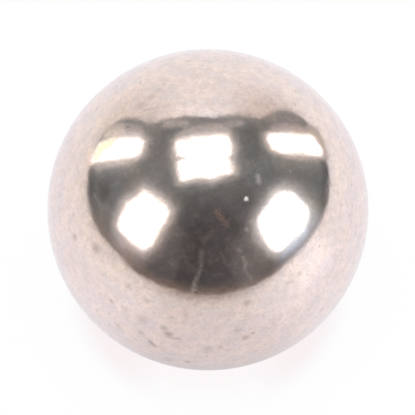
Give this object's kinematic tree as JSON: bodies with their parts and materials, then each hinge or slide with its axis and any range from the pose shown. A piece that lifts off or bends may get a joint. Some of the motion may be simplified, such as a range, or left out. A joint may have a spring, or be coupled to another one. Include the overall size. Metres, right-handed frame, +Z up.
{
  "type": "steel ball",
  "caption": "Solid polished steel ball, a plain true sphere that rolls in a race or sits in a cup or cone as a bearing, check or locating element.",
  "frame": {"origin": "centre of the ball", "axes": "+Z up as it lies on a level surface; every axis through the centre is an axis of symmetry"},
  "size_m": [0.02, 0.02, 0.02],
  "materials": {
    "polished_steel": "polished"
  },
  "bodies": {
    "root": {"ball": "polished_steel"}
  },
  "joints": []
}
